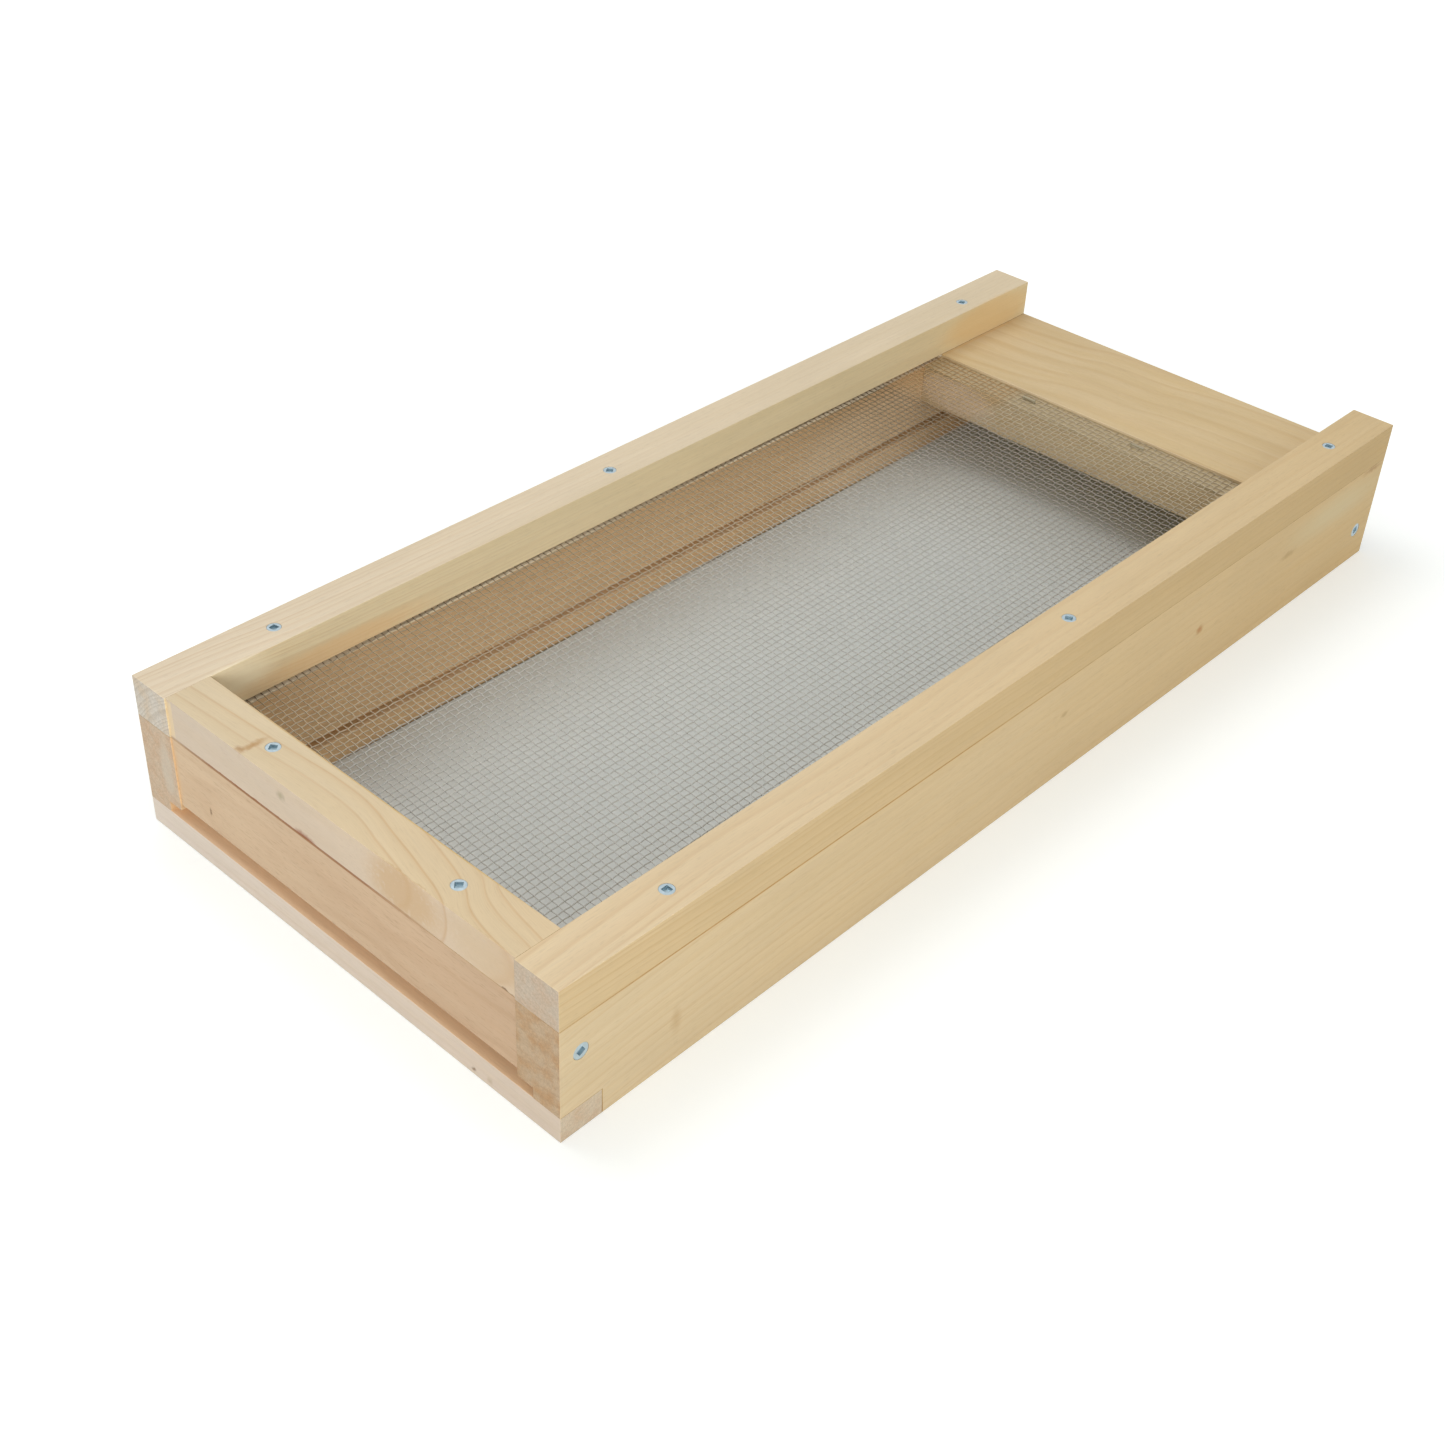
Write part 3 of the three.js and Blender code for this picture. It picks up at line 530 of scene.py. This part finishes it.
# The tray grooves' faces are painted paler: painted light that lifts the shade inside the grooves.
trayGroovePaintedLight = {"reach": (4.1, 268, 2.6), "core": 0.95, "colour": "#EFD0A6", "strength": 1.0}
boards = {
    "left_top_rail": {
        "name": "leftTopRailBoard", "material": "creamPineLeftRail", "slot": "cream_pine", "along": "y",
        "early": "#ECDBC0", "warm": "#DEC9A4", "late": "#C99E68",
        "end": "#D3CABD", "endWarm": "#D2BFA6", "endLate": "#AFA08C",
        "ringWidth": 1.9, "heart": (-59, 0, 8), "waveLength": 170, "waveHeight": 2, "seed": 2.1,
        "drift": (-3.1, 0, 3.4),
        "course": ((0, 0), (0.06, 0.3), (0.1, 0.6), (0.14, 0.79), (0.19, 0.88), (0.25, 0.95),
                   (0.32, 1), (1, 1)),
        "lineStrength": 0.4, "farLines": 0.3,
        # Painted light and shade: the rail darkens towards its far end, and its inner and outer faces are
        # warmer than its top.
        "streakStrength": 0.22, "endLines": 0.42, "farTone": (0.94, 0.93, 0.87),
        "faces": [{"normal": (1, 0, 0), "tone": (1.03, 1.02, 0.89)},
                  {"normal": (-1, 0, 0), "tone": (1.02, 0.97, 0.84)}],
        "marks": [
            # Painted light: a pale pool at the near end of the inner face, lifting the shade of the corner.
            {"place": (-95.4, -238, 62), "reach": (3, 26, 12), "core": 0.3, "colour": "#FFF0CC",
             "strength": 0.8},
            # Painted light: an orange pool of bounced light low on the inner face near its near end.
            {"place": (-95.4, -190, 55), "reach": (3, 66, 7), "core": 0.3, "colour": "#EFC083",
             "strength": 0.5},
            {"place": (-95.4, 236, 60), "reach": (3, 48, 13), "core": 0.5, "colour": "#E8C080",
             "strength": 0.5},
        ],
    },
    "right_top_rail": {
        "name": "rightTopRailBoard", "material": "goldenPineRightRail", "slot": "golden_pine", "along": "y",
        "early": "#EAD4AF", "warm": "#DEC294", "late": "#C4955A",
        "end": "#C1B19D", "endWarm": "#C1A78D", "endLate": "#A89177",
        "ringWidth": 2.6, "heart": (71, 0, -1), "waveLength": 150, "waveHeight": 2, "seed": 5.3,
        "drift": (1.4, 0, 2.5),
        "course": ((0, 0), (0.06, 0.3), (0.13, 0.56), (0.16, 0.68), (0.31, 0.51), (0.41, 0.68),
                   (0.54, 1), (1, 0.8)),
        # Painted shade: the rail darkens towards its far end.
        "lineStrength": 0.33, "farLines": 0.5, "streakStrength": 0.22, "farTone": (0.91, 0.86, 0.73),
        "bands": [{"place": (116, -130, 51.5), "reach": (1, 190, 0.5), "core": 0.2, "colour": "#C08C40",
                   "strength": 0.7}],
        # Painted shade: the outer side face is darker and warmer than the top.
        "faces": [{"normal": (1, 0, 0), "tone": (0.83, 0.78, 0.67)}],
    },
    "left_side_board": {
        "name": "leftSideBoard", "material": "goldenPineLeftSide", "slot": "golden_pine", "along": "y",
        "early": "#EEC78F", "warm": "#C9A97A", "late": "#B08A5A",
        "end": "#CDB79D", "endWarm": "#C9A98A", "endLate": "#B49776",
        "ringWidth": 4.5, "heart": (-70, 0, 90), "waveLength": 200, "waveHeight": 4, "seed": 8.9,
        "drift": (0, 0, -6), "course": ((0, 0), (0.25, 0.7), (1, 1)),
        # Painted light and shade: the board darkens towards its far end, and its inner and outer faces are
        # cooler than its base colour, the outer one most.
        "lineStrength": 0.3, "farLines": 0.6, "streakStrength": 0.3, "farTone": (0.98, 0.93, 0.86),
        "faces": [{"normal": (1, 0, 0), "tone": (1.0, 1.04, 1.22)},
                  {"normal": (-1, 0, 0), "tone": (0.83, 0.98, 1.26)}],
        "marks": [
            {"place": (-101, -267, 33), "reach": (5, 2, 18), "core": 0.4, "colour": "#CFC5B4",
             "strength": 0.5},
            {"place": (-95.4, 150, 22), "reach": (3, 80, 30), "core": 0.5, "colour": "#FFE6C4",
             "strength": 0.5},
        ],
        "bands": [
            # Painted shadow: a dark strip along the foot of the inner face, where it stands on the floor.
            {"place": (-95.4, 0, 0), "reach": (2, 268, 1.3), "core": 0.5, "colour": "#6A5C40",
             "strength": 0.75},
            # Painted light inside the tray groove.
            {"place": (-99.2, 0, 14), **trayGroovePaintedLight},
            # Painted light: a pale strip in the screen's seat under the rail, lifting its shade.
            {"place": (-97.2, 0, 50.6), "reach": (2.1, 268, 1.6), "core": 0.9, "colour": "#FFF0D4",
             "strength": 1.0},
        ],
    },
    "right_side_board": {
        "name": "rightSideBoard", "material": "goldenPineRightSide", "slot": "golden_pine", "along": "y",
        "early": "#DBC59F", "warm": "#D4B886", "late": "#BE9560",
        "end": "#BBA284", "endWarm": "#B48E65", "endLate": "#A18563",
        "ringWidth": 4.3, "heart": (85, 0, 120), "waveLength": 170, "waveHeight": 3.5, "seed": 3.7,
        "drift": (2, 0, -8.8), "course": ((0, 0), (0.25, 0.67), (0.5, 0.89), (1, 1)),
        # Painted shade: the board darkens towards its far end.
        "lineStrength": 0.3, "farLines": 0.5, "streakStrength": 0.22, "farTone": (0.98, 0.9, 0.73),
        "marks": [
            {"place": (116, -213, 19), "reach": (6, 3.5, 9), "colour": "#B9925F", "strength": 0.35},
            {"place": (116, 114, 25.5), "reach": (5, 4, 3.2), "colour": "#B5783E", "strength": 0.75},
            {"place": (116, 11, 33), "reach": (5, 4, 1.8), "colour": "#A98455", "strength": 0.5},
            {"place": (116, 226, 40), "reach": (8, 60, 12), "colour": "#D8C8A0", "strength": 0.6},
            {"place": (116, 186, 33), "reach": (6, 10, 2.4), "colour": "#B08C5E", "strength": 0.5},
            {"place": (116, 256, 50), "reach": (6, 12, 2.0), "colour": "#A98052", "strength": 0.6},
        ],
        "bands": [
            # Painted light inside the tray groove.
            {"place": (99.2, 0, 14), **trayGroovePaintedLight},
            {"place": (116, -130, 51.5), "reach": (1, 190, 0.6), "core": 0.2, "colour": "#BC8436",
             "strength": 0.9},
        ],
    },
    "rear_top_strip": {
        "name": "rearTopStripBoard", "material": "creamPineRearStrip", "slot": "cream_pine", "along": "x",
        "early": "#E5D2B0", "warm": "#E0C79C", "late": "#C99A60",
        "end": "#D2BFA4", "endWarm": "#C9AE8A", "endLate": "#B89B78",
        "ringWidth": 7, "rings": ((32.8, 0.75), (39.4, 1.0), (49.1, 1.0), (56.5, 0.7), (61.7, 0.8)),
        "heart": (0, -289, 62.5), "waveLength": 60, "waveHeight": 2, "seed": 6.4,
        "drift": (0, 26.5, 0),
        "course": ((0, 0.19), (0.24, 0.09), (0.44, 0), (0.5, 0.01), (0.62, 0.18), (0.71, 0.33), (0.8, 0.53),
                   (0.88, 0.84), (1, 1)),
        # Painted light and shade: the strip darkens a little towards its far end, and its near face is
        # darker and cooler than its top.
        "lineStrength": 0.5, "streakStrength": 0.25, "farTone": (0.99, 0.95, 0.89),
        "faces": [{"normal": (0, -1, 0), "tone": (0.87, 0.87, 1.0)}],
        "marks": [
            {"place": (40, -266.2, 61), "reach": (25, 1, 16), "core": 0.4, "colour": "#C7A374",
             "strength": 0.6},
            {"place": (80, -266.2, 61), "reach": (26, 1, 16), "core": 0.4, "colour": "#CDB28C",
             "strength": 0.4},
            {"place": (-50.5, -260, 69.5), "reach": (2.2, 8.5, 3), "colour": "#B98A52", "strength": 0.7},
            {"place": (-52, -265, 69.5), "reach": (3.5, 2, 2), "colour": "#A8743C", "strength": 0.6},
            {"place": (-27, -266, 63.5), "reach": (3.5, 2, 3), "colour": "#9C8F6E", "strength": 0.6},
            {"place": (-14.5, -266, 51.5), "reach": (9, 3, 3.2), "colour": "#8E4F34", "strength": 0.9},
            {"place": (-50, -266, 51.5), "reach": (45, 3, 1.0), "colour": "#A8673C", "strength": 0.8},
            {"place": (90, -266, 51.5), "reach": (7, 2, 0.9), "colour": "#6E4A30", "strength": 0.8},
        ],
        "bands": [
            # Painted highlight: a yellow line along the inner top edge.
            {"place": (0, -246.9, 69.4), "reach": (95.4, 0.5, 0.6), "core": 0.5, "colour": "#D2AE68",
             "strength": 0.6},
            {"place": (-94.2, -266.2, 60.5), "reach": (2.1, 1, 9.3), "core": 0.7, "colour": "#E8D0AA",
             "strength": 0.85},
            {"place": (-25, -266.2, 51.8), "reach": (90, 1, 0.5), "core": 0.4, "colour": "#8A4E2C",
             "strength": 0.8},
        ],
    },
    "rear_end_board": {
        "name": "rearEndBoard", "material": "pinkPineRearEnd", "slot": "pink_pine", "along": "x",
        "early": "#DABF9E", "warm": "#CBA985", "late": "#B58A62",
        "end": "#C3A181", "endWarm": "#BC9268", "endLate": "#A78462",
        "ringWidth": 2.0, "heart": (0, -340, 30), "waveLength": 60, "waveHeight": 3, "seed": 1.2,
        # Painted shade: the board darkens towards its far end.
        "lineStrength": 0.2, "streakStrength": 0.3, "canals": 0.3, "farTone": (0.81, 0.76, 0.74),
        "marks": [{"place": (-75.1, -266, 27.5), "reach": (1.0, 2, 2.6), "colour": "#7A5A3C",
                   "strength": 0.9}],
        "bands": [
            {"place": (-94.6, -266.2, 35), "reach": (1.6, 1, 17), "core": 0.2, "colour": "#DDBB92",
             "strength": 0.6},
            {"place": (-25, -266.2, 51.2), "reach": (90, 1, 0.5), "core": 0.4, "colour": "#94592F",
             "strength": 0.8},
        ],
    },
    "tray_sill": {
        "name": "traySillBoard", "material": "palePineSill", "slot": "pale_pine", "along": "x",
        "early": "#E3D5C7", "warm": "#D8C5A8", "late": "#C2A581",
        "end": "#D0BFA6", "endWarm": "#CDB294", "endLate": "#B39C7C",
        "ringWidth": 2.6, "heart": (0, -240, -30), "waveLength": 140, "waveHeight": 3, "seed": 9.5,
        # Painted shade: the sill darkens towards its far end.
        "lineStrength": 0.15, "streakStrength": 0.2, "farTone": (0.88, 0.84, 0.79),
        "marks": [
            {"place": (73, -267, 2.5), "reach": (1.6, 2, 1.8), "colour": "#7E6242", "strength": 0.85},
            {"place": (81, -267, 2.8), "reach": (2.5, 2, 2.2), "colour": "#B09A78", "strength": 0.5},
        ],
        # Painted light: the top face, in the shade of the slot, is lighter and warmer, as lit by light
        # bounced off the wood.
        "faces": [{"normal": (0, 0, 1), "tone": (1.28, 1.08, 0.82)}],
    },
    "landing_board": {
        "name": "landingBoard", "material": "goldenPineLanding", "slot": "golden_pine", "along": "x",
        "early": "#DBC399", "warm": "#D1B581", "late": "#BD965E",
        "end": "#C7AF8D", "endWarm": "#C09F70", "endLate": "#A98C66",
        "ringWidth": 9.5, "heart": (0, 60, -90), "waveLength": 70, "waveHeight": 6, "seed": 4.4,
        "drift": (0, -16, -12),
        "course": ((0, 0), (0.2, 0.17), (0.38, 0.53), (0.5, 0.6), (0.65, 0.85), (0.85, 0.97), (1, 1)),
        # Painted light: the board lightens towards its far end.
        "lineStrength": 0.36, "streakStrength": 0.45, "farTone": (1.1, 1.1, 1.08),
        "bands": [
            # Painted shade: the ledge under the screen, with its riser, is darker and greyer.
            {"place": (0, 189.9, 49.5), "reach": (95.6, 8.2, 0.9), "core": 0.97, "colour": "#BDAB88",
             "strength": 0.95},
            # Painted highlight: a pale line along the front edge of the top.
            {"place": (0, 196.4, 51.1), "reach": (95.6, 0.6, 0.7), "core": 0.5, "colour": "#E6D3B0",
             "strength": 0.6},
            # Painted light: a pale strip at the top of the near face, just under the ledge, lifting the
            # screen's shadow.
            {"place": (0, 183, 49.3), "reach": (95.6, 0.4, 0.9), "core": 0.3, "colour": "#E4D2AE",
             "strength": 0.45},
            {"place": (-94.6, 225, 51.5), "reach": (1.6, 41, 0.6), "core": 0.5, "colour": "#D3A465",
             "strength": 0.3},
        ],
        "marks": [{"place": (-75, 183, 40), "reach": (30, 2, 12), "core": 0.5, "colour": "#E6D6C6",
                   "strength": 0.7}],
        # Painted shade: the near face, under the screen, is darker and cooler than the top.
        "faces": [{"normal": (0, -1, 0), "tone": (0.88, 0.91, 0.98)}],
    },
    "front_end_board": {
        "name": "frontEndBoard", "material": "goldenPineFrontEnd", "slot": "golden_pine", "along": "x",
        "early": "#D9C29A", "warm": "#CFB283", "late": "#BC965F",
        "end": "#C7AF8D", "endWarm": "#C09F70", "endLate": "#A98C66",
        "ringWidth": 4.0, "heart": (0, 300, 60), "waveLength": 150, "waveHeight": 4, "seed": 7.7,
        "drift": (0, 0, 3), "lineStrength": 0.28, "streakStrength": 0.25,
    },
}
jointEdge = jointMaterial(crushedPine)
for nodeName, board in boards.items():
    makeBoard(nodeName, {**usualBoard, **board}, jointEdge)
print("boards done:", len(boards))


# Galvanised wire cloth: 8 wires to the inch, plain woven, pulled slightly askew when it was stapled.
wireCloth = {
    "pitch": 3.178 * mm, "crossPitch": 3.257 * mm, "wire": 0.45 * mm, "sides": 6,
    "lengthwiseTurn": 1.0, "crosswiseTurn": -4.7, "phase": (1.1 * mm, 0.9 * mm),
    "spare": (8, 12),  # wires more than would cover the cloth if it weren't askew
    "edgeGap": 0.05 * mm, "cutMerge": 0.0001 * mm, "capSides": 10, "sharp": 65,
    "colours": ("#B0B0AA", "#C5C5BF"), "spangle": 4, "metallic": 0.6, "roughness": 0.5,
    # Painted shade darkens the wire towards the landing board, and a painted warm reflection of the wood
    # lightens it over the landing board's face and ledge. Near the left board, painted warm light bounced
    # off the wood tints it.
    "tarnishFrom": 55, "tarnishTo": 185,
    "tarnish": ((0.0, (1, 1, 1)), (0.25, (0.85, 0.83, 0.8)), (0.53, (0.6, 0.56, 0.52)),
                (0.72, (0.54, 0.5, 0.46)), (0.78, (0.92, 0.78, 0.61)), (0.86, (1.1, 0.93, 0.7))),
    "warmFrom": -39, "warmTo": -49, "warmTone": (1.0, 0.83, 0.63),
}


# Zinc-galvanised steel: dull light grey, slightly mottled, with a broken soft gleam.
def wireMaterial(spec):
    material, tree = newMaterial("galvanisedSteelWire")
    colour = mottle(tree, spec["spangle"], spec["colours"])[1]
    coords = addNode(tree, "ShaderNodeTexCoord")
    inMm = addNode(tree, "ShaderNodeVectorMath", {"operation": "SCALE"},
                   {0: coords.outputs["Object"], "Scale": perMetre})
    place = addNode(tree, "ShaderNodeSeparateXYZ", None, {0: inMm.outputs[0]})
    # Painted shade towards the landing board, then a painted warm reflection of the landing board's wood.
    towardsLanding = addNode(tree, "ShaderNodeMapRange", None,
                             {"Value": place.outputs["Y"], "From Min": spec["tarnishFrom"],
                              "From Max": spec["tarnishTo"]})
    tarnish = addNode(tree, "ShaderNodeValToRGB", None, {"Fac": towardsLanding.outputs[0]})
    stops = tarnish.color_ramp.elements
    first, *between, last = spec["tarnish"]
    for stop, (share, tone) in zip(stops, (first, last)):
        stop.position, stop.color = share, (*tone, 1)
    for share, tone in between:
        stops.new(share).color = (*tone, 1)
    wireWithPaintedShade = addNode(tree, "ShaderNodeVectorMath", {"operation": "MULTIPLY"},
                        {0: colour, 1: tarnish.outputs[0]})
    # Painted warm light bounced off the left board, on the wires near it.
    towardsLeft = addNode(tree, "ShaderNodeMapRange", {"interpolation_type": "SMOOTHSTEP"},
                          {"Value": place.outputs["X"], "From Min": spec["warmFrom"],
                           "From Max": spec["warmTo"]})
    paintedBounce = addNode(tree, "ShaderNodeMix", {"data_type": "VECTOR"},
                     {0: towardsLeft.outputs[0], 4: (1, 1, 1), 5: spec["warmTone"]})
    wireWithPaintedBounce = addNode(tree, "ShaderNodeVectorMath", {"operation": "MULTIPLY"},
                     {0: wireWithPaintedShade.outputs[0], 1: paintedBounce.outputs[1]})
    surface = addNode(tree, "ShaderNodeBsdfPrincipled", None,
                      {"Base Color": wireWithPaintedBounce.outputs[0], "Metallic": spec["metallic"],
                       "Roughness": spec["roughness"]})
    addNode(tree, "ShaderNodeOutputMaterial", None, {"Surface": surface.outputs[0]})
    return material


def weaveWires(name, spec, material, first, step, run, crossings, count, rise):
    # One wire: a ring pulled along from crossing to crossing, over and under in turn.
    bm = bmesh.new()
    radius = spec["wire"] / 2
    turn = Vector((0, 0, 1)).rotation_difference(run.normalized()).to_matrix().to_4x4()
    for odd in (0, 1):
        up = rise if odd == 0 else -rise
        place = first + step * odd + Vector((0, 0, up))
        ring = bmesh.ops.create_circle(bm, segments=spec["sides"], radius=radius,
                                       matrix=Matrix.Translation(place) @ turn)["verts"]
        edges = list({e for v in ring for e in v.link_edges})
        for i in range(crossings):
            pulled = bmesh.ops.extrude_edge_only(bm, edges=edges)["geom"]
            verts = [g for g in pulled if isinstance(g, bmesh.types.BMVert)]
            edges = [g for g in pulled if isinstance(g, bmesh.types.BMEdge)]
            up = -up
            bmesh.ops.translate(bm, vec=run + Vector((0, 0, 2 * up)), verts=verts)
    pair = bm.verts[:] + bm.edges[:] + bm.faces[:]
    for i in range(1, count // 2 + 1):
        copy = bmesh.ops.duplicate(bm, geom=pair)["geom"]
        verts = [g for g in copy if isinstance(g, bmesh.types.BMVert)]
        bmesh.ops.translate(bm, vec=step * 2 * i, verts=verts)
    # The wires are cut off just inside the edges of the cloth, and their ends closed.
    low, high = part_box("wire_screen")
    for corner, sign in ((low, -1), (high, 1)):
        for axis in (0, 1):
            normal = Vector((0, 0, 0))
            normal[axis] = sign
            place = Vector(corner) - normal * spec["edgeGap"]
            bmesh.ops.bisect_plane(bm, geom=bm.verts[:] + bm.edges[:] + bm.faces[:],
                                   dist=spec["cutMerge"], plane_co=place, plane_no=normal,
                                   clear_outer=True)
    bmesh.ops.holes_fill(bm, edges=[e for e in bm.edges if e.is_boundary], sides=spec["capSides"])
    bmesh.ops.recalc_face_normals(bm, faces=bm.faces)
    mesh = bpy.data.meshes.new(name)
    bm.to_mesh(mesh)
    bm.free()
    mesh.shade_smooth()
    mesh.set_sharp_from_angle(angle=math.radians(spec["sharp"]))
    print(name, len(mesh.polygons), "faces")
    finishPiece(mesh, name, [material], ["wire_screen"])


def makeWireCloth(spec):
    low, high = (Vector(c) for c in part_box("wire_screen"))
    level = (low.z + high.z) / 2
    rise = spec["wire"] / 2
    a = math.radians(spec["crosswiseTurn"])
    b = math.radians(spec["lengthwiseTurn"])
    across = Vector((math.cos(a), math.sin(a), 0))
    lengthways = Vector((-math.sin(b), math.cos(b), 0))
    # Steps between crossings, so that each family keeps its own pitch measured square to its wires.
    skew = math.cos(a - b)
    acrossStep = across * (spec["pitch"] / skew)
    lengthStep = lengthways * (spec["crossPitch"] / skew)
    wide = int((high.x - low.x) / acrossStep.length) + spec["spare"][0]
    long = int((high.y - low.y) / lengthStep.length) + spec["spare"][1]
    middle = Vector((0, (low.y + high.y) / 2, level)) + Vector((*spec["phase"], 0))
    first = middle - acrossStep * (wide // 2) - lengthStep * (long // 2)
    material = wireMaterial(spec)
    weaveWires("lengthwiseWires", spec, material, first, acrossStep, lengthStep, long, wide, rise)
    weaveWires("crosswiseWires", spec, material, first, lengthStep, acrossStep, wide, long, -rise)


makeWireCloth(wireCloth)
print("wire cloth done")


# Zinc-plated steel screws: bright, blue-white plating, hazy where it was handled.
zincPlating = {"name": "zincPlatedSteel", "spots": 1.5, "colours": ("#9DB0B9", "#C6D5DB"),
               "metallic": 1.0, "roughness": (0.22, 0.45)}
# Staples of lacquered steel wire: yellowish grey, mottled where the lacquer is worn, half matt.
stapleLacquer = {"name": "lacqueredStapleSteel", "spots": 1.2, "colours": ("#A89F84", "#BFB79E"),
                 "metallic": 0.4, "roughness": (0.4, 0.6)}


def fastenerMaterial(finish):
    material, tree = newMaterial(finish["name"])
    haze, colour = mottle(tree, finish["spots"], finish["colours"])
    roughness = addNode(tree, "ShaderNodeMapRange", None,
                        {"Value": haze, "To Min": finish["roughness"][0],
                         "To Max": finish["roughness"][1]})
    surface = addNode(tree, "ShaderNodeBsdfPrincipled", None,
                      {"Base Color": colour, "Metallic": finish["metallic"],
                       "Roughness": roughness.outputs[0]})
    addNode(tree, "ShaderNodeOutputMaterial", None, {"Surface": surface.outputs[0]})
    return material


# Countersunk screws with a square socket. Each is turned as it was left by the driver, in degrees.
screwParts = {
    "segments": 32, "seated": 0.2 * mm, "socket": 3.0 * mm, "socketDepth": 1.3 * mm, "socketTaper": 0.86,
    "rimRound": 0.15 * mm, "rim": 0.4 * mm, "headHeight": 2.4 * mm, "shank": 3.0 * mm,
    "tip": 6 * mm, "tipBlunt": 0.05,
    "threadPitch": 1.8 * mm, "threadDepth": 0.5 * mm, "threadSteps": 12,
    "plain": 0.4,  # share of the shaft that has no thread
    "sharp": 30,
}
screwTurns = {
    "left_rail_screw_1": 12, "left_rail_screw_2": 35, "left_rail_screw_3": 20,
    "right_rail_screw_1": 0, "right_rail_screw_2": 28, "right_rail_screw_3": 8,
    "rear_strip_screw_1": 38, "rear_strip_screw_2": 45,
    "left_rear_side_screw": 30, "left_front_side_screw": 15,
    "right_rear_side_screw": 30, "right_front_side_screw": 15,
    "left_sill_screw": 10, "right_sill_screw": 10,
}


def makeScrew(nodeName, turn, spec, material):
    low, high = (Vector(corner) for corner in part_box(nodeName))
    size = high - low
    longest = max(range(3), key=lambda i: size[i])
    length = size[longest]
    radius = min(size) / 2 + spec["seated"]
    middle = (low + high) / 2
    outward = Vector((0, 0, 0))
    # The head faces out of the board: the end that lies nearer to the board's own outline.
    toHigh = cadBox[1][longest] - high[longest]
    toLow = low[longest] - cadBox[0][longest]
    outward[longest] = 1 if toHigh < toLow else -1

    # The square socket's mouth has as many points as the head's ring, and both start at a corner.
    bm = bmesh.new()
    turned = Matrix.Rotation(math.radians(45), 4, "Z")
    socket = bmesh.ops.create_circle(bm, segments=4, radius=spec["socket"] / math.sqrt(2),
                                     matrix=turned)["verts"]
    sides = list({e for v in socket for e in v.link_edges})
    bmesh.ops.subdivide_edges(bm, edges=sides, cuts=spec["segments"] // 4 - 1)
    mouth = bm.edges[:]
    face = bmesh.ops.create_circle(bm, segments=spec["segments"], radius=radius - spec["rimRound"],
                                   matrix=turned)["verts"]
    ring = list({e for v in face for e in v.link_edges})
    bmesh.ops.bridge_loops(bm, edges=mouth + ring)

    def pull(edges, scale, down):
        made = bmesh.ops.extrude_edge_only(bm, edges=edges)["geom"]
        verts = [g for g in made if isinstance(g, bmesh.types.BMVert)]
        bmesh.ops.scale(bm, vec=(scale, scale, 1), verts=verts)
        bmesh.ops.translate(bm, vec=(0, 0, -down), verts=verts)
        return [g for g in made if isinstance(g, bmesh.types.BMEdge)]

    bottom = pull(mouth, spec["socketTaper"], spec["socketDepth"])
    bmesh.ops.holes_fill(bm, edges=bottom, sides=spec["segments"])
    shank = spec["shank"] / 2
    shaft = length - spec["headHeight"] - spec["tip"]
    edges = pull(ring, radius / (radius - spec["rimRound"]), spec["rimRound"])
    edges = pull(edges, 1, spec["rim"] - spec["rimRound"])
    edges = pull(edges, shank / radius, spec["headHeight"] - spec["rim"])
    edges = pull(edges, 1, shaft)
    edges = pull(edges, spec["tipBlunt"], spec["tip"])
    bmesh.ops.holes_fill(bm, edges=edges, sides=spec["segments"])

    # The thread is a triangle swept down the shaft, its inner edge inside the shaft.
    start = -spec["headHeight"] - shaft * spec["plain"]
    turns = int((shaft * (1 - spec["plain"])) / spec["threadPitch"])
    stand = Matrix.Translation((shank, 0, start)) @ Matrix.Rotation(math.radians(90), 4, "X")
    ridge = bmesh.ops.create_circle(bm, segments=3, radius=spec["threadDepth"], cap_ends=True,
                                    matrix=stand)["verts"]
    faces = list({f for v in ridge for f in v.link_faces})
    steps = spec["threadSteps"] * turns
    swept = faces + list({e for f in faces for e in f.edges}) + ridge
    bmesh.ops.spin(bm, geom=swept, cent=(0, 0, 0), axis=(0, 0, 1), angle=math.tau * turns, steps=steps,
                   dvec=(0, 0, -spec["threadPitch"] / spec["threadSteps"]),
                   use_merge=False, use_duplicate=False)
    bmesh.ops.recalc_face_normals(bm, faces=bm.faces)
    place = middle + outward * (length / 2 + spec["seated"])
    tilt = Vector((0, 0, 1)).rotation_difference(outward).to_matrix().to_4x4()
    spun = Matrix.Rotation(math.radians(turn), 4, "Z")
    bmesh.ops.transform(bm, matrix=Matrix.Translation(place) @ tilt @ spun, verts=bm.verts)
    mesh = bpy.data.meshes.new(nodeName)
    bm.to_mesh(mesh)
    bm.free()
    mesh.shade_smooth()
    mesh.set_sharp_from_angle(angle=math.radians(spec["sharp"]))
    words = nodeName.split("_")
    pieceName = words[0] + "".join(word.capitalize() for word in words[1:])
    finishPiece(mesh, pieceName, [material], [nodeName])


zinc = fastenerMaterial(zincPlating)
for nodeName, turn in screwTurns.items():
    makeScrew(nodeName, turn, screwParts, zinc)
coated = fastenerMaterial(stapleLacquer)
for nodeName, node in nodes.items():
    if "staple" in nodeName:
        node.data.materials.clear()
        node.data.materials.append(coated)
print("screws and staples done")
